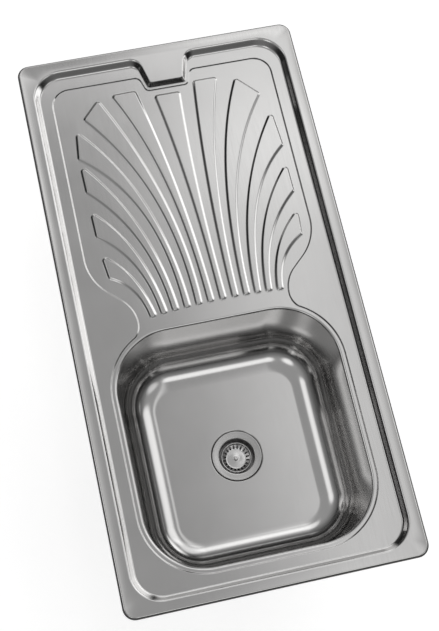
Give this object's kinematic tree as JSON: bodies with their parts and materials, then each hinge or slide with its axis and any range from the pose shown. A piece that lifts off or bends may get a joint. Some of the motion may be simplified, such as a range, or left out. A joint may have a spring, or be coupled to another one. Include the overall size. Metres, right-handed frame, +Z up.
{
  "type": "inset kitchen sink with drainboard",
  "caption": "Inset stainless steel kitchen sink: deep bowl, fan-ribbed drainboard, tap ledge, basket-strainer waste and swinging hold-down clips.",
  "frame": {"origin": "middle of the rim's rectangle, on the worktop plane that the rim's lower edge rests on", "axes": "+X to the right and +Y towards the drainboard end with the tap ledge, +Z up"},
  "size_m": [0.435, 0.86, 0.237],
  "materials": {
    "sheet_steel": "satin",
    "waste_steel": "turned satin",
    "polished_steel": "polished",
    "zinc_steel": "zinc plated",
    "plated_screw": "zinc plated",
    "insert_brass": "machined",
    "waste_plastic": "moulded",
    "black_rubber": "matt",
    "seal_foam": "foamed",
    "damping_pad": "grained"
  },
  "bodies": {
    "sink": {"sink_deck": "sheet_steel", "bowl": "sheet_steel", "strainer_flange": "waste_steel", "centre_screw": "polished_steel", "rim_seal": "seal_foam", "flange_gasket": "black_rubber", "lower_gasket": "black_rubber", "waste_body": "waste_plastic", "screw_insert": "insert_brass", "sound_pad_rear": "damping_pad", "sound_pad_front": "damping_pad", "earth_tag": "zinc_steel", "clip_bracket_1": "zinc_steel", "clip_nut_1": "plated_screw", "clip_bracket_2": "zinc_steel", "clip_nut_2": "plated_screw", "clip_bracket_3": "zinc_steel", "clip_nut_3": "plated_screw", "clip_bracket_4": "zinc_steel", "clip_nut_4": "plated_screw", "clip_bracket_5": "zinc_steel", "clip_nut_5": "plated_screw", "clip_bracket_6": "zinc_steel", "clip_nut_6": "plated_screw", "clip_bracket_7": "zinc_steel", "clip_nut_7": "plated_screw", "clip_bracket_8": "zinc_steel", "clip_nut_8": "plated_screw"},
    "basket": {"basket_cup": "polished_steel", "basket_knob": "polished_steel", "basket_seal": "black_rubber", "basket_stem": "polished_steel", "stem_ring": "black_rubber"},
    "screw_1": {"clip_screw_1": "plated_screw"},
    "claw_1": {"clip_claw_1": "zinc_steel"},
    "screw_2": {"clip_screw_2": "plated_screw"},
    "claw_2": {"clip_claw_2": "zinc_steel"},
    "screw_3": {"clip_screw_3": "plated_screw"},
    "claw_3": {"clip_claw_3": "zinc_steel"},
    "screw_4": {"clip_screw_4": "plated_screw"},
    "claw_4": {"clip_claw_4": "zinc_steel"},
    "screw_5": {"clip_screw_5": "plated_screw"},
    "claw_5": {"clip_claw_5": "zinc_steel"},
    "screw_6": {"clip_screw_6": "plated_screw"},
    "claw_6": {"clip_claw_6": "zinc_steel"},
    "screw_7": {"clip_screw_7": "plated_screw"},
    "claw_7": {"clip_claw_7": "zinc_steel"},
    "screw_8": {"clip_screw_8": "plated_screw"},
    "claw_8": {"clip_claw_8": "zinc_steel"}
  },
  "joints": [
    {"name": "basket_lift", "type": "slide", "parent": "sink", "child": "basket", "axis": [0, 0, 1], "range_m": [0, 0.205]},
    {"name": "clip_travel_1", "type": "slide", "parent": "sink", "child": "screw_1", "axis": [0, 0, 1], "range_m": [0, 0.014]},
    {"name": "clip_swing_1", "type": "hinge", "parent": "screw_1", "child": "claw_1", "pos_m": [0.182, 0.2, -0.0508], "axis": [0, 0, -1], "range_deg": [0, 90]},
    {"name": "clip_travel_2", "type": "slide", "parent": "sink", "child": "screw_2", "axis": [0, 0, 1], "range_m": [0, 0.014]},
    {"name": "clip_swing_2", "type": "hinge", "parent": "screw_2", "child": "claw_2", "pos_m": [0.182, -0.206, -0.0508], "axis": [0, 0, -1], "range_deg": [0, 90]},
    {"name": "clip_travel_3", "type": "slide", "parent": "sink", "child": "screw_3", "axis": [0, 0, 1], "range_m": [0, 0.014]},
    {"name": "clip_swing_3", "type": "hinge", "parent": "screw_3", "child": "claw_3", "pos_m": [0.11, -0.398, -0.0508], "axis": [0, 0, -1], "range_deg": [0, 90]},
    {"name": "clip_travel_4", "type": "slide", "parent": "sink", "child": "screw_4", "axis": [0, 0, 1], "range_m": [0, 0.014]},
    {"name": "clip_swing_4", "type": "hinge", "parent": "screw_4", "child": "claw_4", "pos_m": [-0.11, -0.398, -0.0508], "axis": [0, 0, -1], "range_deg": [0, 90]},
    {"name": "clip_travel_5", "type": "slide", "parent": "sink", "child": "screw_5", "axis": [0, 0, 1], "range_m": [0, 0.014]},
    {"name": "clip_swing_5", "type": "hinge", "parent": "screw_5", "child": "claw_5", "pos_m": [-0.182, -0.206, -0.0508], "axis": [0, 0, -1], "range_deg": [0, 90]},
    {"name": "clip_travel_6", "type": "slide", "parent": "sink", "child": "screw_6", "axis": [0, 0, 1], "range_m": [0, 0.014]},
    {"name": "clip_swing_6", "type": "hinge", "parent": "screw_6", "child": "claw_6", "pos_m": [-0.182, 0.2, -0.0508], "axis": [0, 0, -1], "range_deg": [0, 90]},
    {"name": "clip_travel_7", "type": "slide", "parent": "sink", "child": "screw_7", "axis": [0, 0, 1], "range_m": [0, 0.014]},
    {"name": "clip_swing_7", "type": "hinge", "parent": "screw_7", "child": "claw_7", "pos_m": [-0.11, 0.3915, -0.0508], "axis": [0, 0, -1], "range_deg": [0, 90]},
    {"name": "clip_travel_8", "type": "slide", "parent": "sink", "child": "screw_8", "axis": [0, 0, 1], "range_m": [0, 0.014]},
    {"name": "clip_swing_8", "type": "hinge", "parent": "screw_8", "child": "claw_8", "pos_m": [0.11, 0.3915, -0.0508], "axis": [0, 0, -1], "range_deg": [0, 90]}
  ]
}
